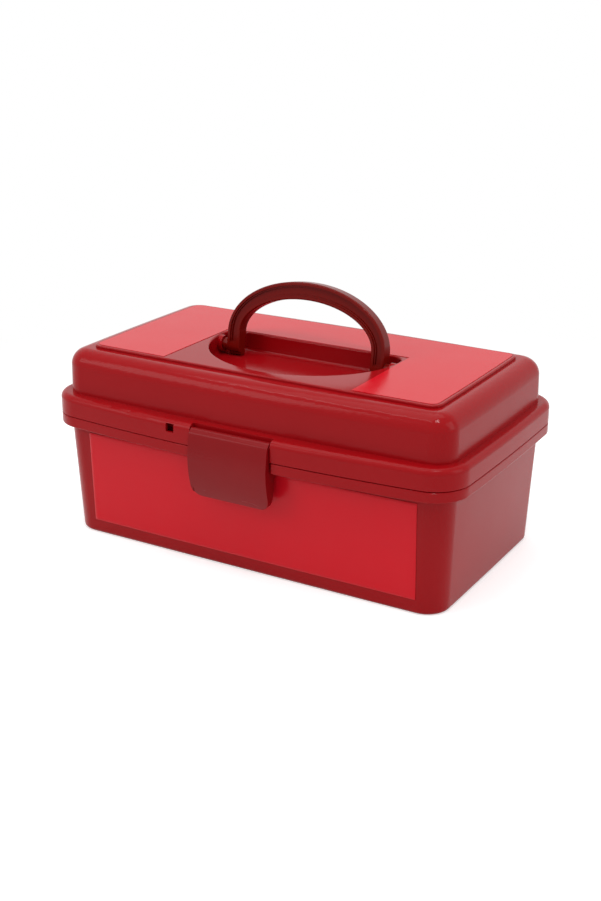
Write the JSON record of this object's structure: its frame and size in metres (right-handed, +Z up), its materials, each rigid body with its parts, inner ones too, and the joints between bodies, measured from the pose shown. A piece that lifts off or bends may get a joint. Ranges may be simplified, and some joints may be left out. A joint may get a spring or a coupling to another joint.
{
  "type": "specimen transport box",
  "caption": "Moulded carrying box for specimens, with a hinged lid, snap latch and fold-down arch handle",
  "frame": {"origin": "middle of the flat underside of the tub", "axes": "+X along the box, -Y towards the latch, +Z up"},
  "size_m": [0.3236, 0.2083, 0.1865],
  "materials": {
    "red_shell": "glossy moulded",
    "handle_plastic": "satin moulded",
    "latch_plastic": "satin gloss",
    "front_label_sheet": "glossy film",
    "top_label_sheet": "glossy film",
    "seal_rubber": "matt",
    "pin_steel": "drawn wire",
    "pad_fibre": "pressed fibre",
    "divider_plastic": "satin sheet"
  },
  "bodies": {
    "case": {"case_base": "red_shell", "hinge_pin_left": "pin_steel", "hinge_pin_right": "pin_steel", "front_label": "front_label_sheet", "absorbent_pad": "pad_fibre", "long_divider": "divider_plastic", "cross_divider_1": "divider_plastic", "cross_divider_2": "divider_plastic", "cross_divider_3": "divider_plastic", "cross_divider_4": "divider_plastic"},
    "cover": {"lid": "red_shell", "lid_gasket": "seal_rubber", "top_label": "top_label_sheet", "latch_pin": "pin_steel"},
    "grip": {"carry_handle": "handle_plastic"},
    "catch": {"front_latch": "latch_plastic"}
  },
  "joints": [
    {"name": "lid_hinge", "type": "hinge", "parent": "case", "child": "cover", "pos_m": [0, 0.1024, 0.092], "axis": [-1, 0, 0], "range_deg": [0, 105]},
    {"name": "latch_swing", "type": "hinge", "parent": "cover", "child": "catch", "pos_m": [0, -0.0952, 0.1018], "axis": [-1, 0, 0], "range_deg": [0, 95]},
    {"name": "handle_fold", "type": "hinge", "parent": "cover", "child": "grip", "pos_m": [0, 0.0036, 0.1335], "axis": [1, 0, 0], "range_deg": [0, 101.5]}
  ]
}
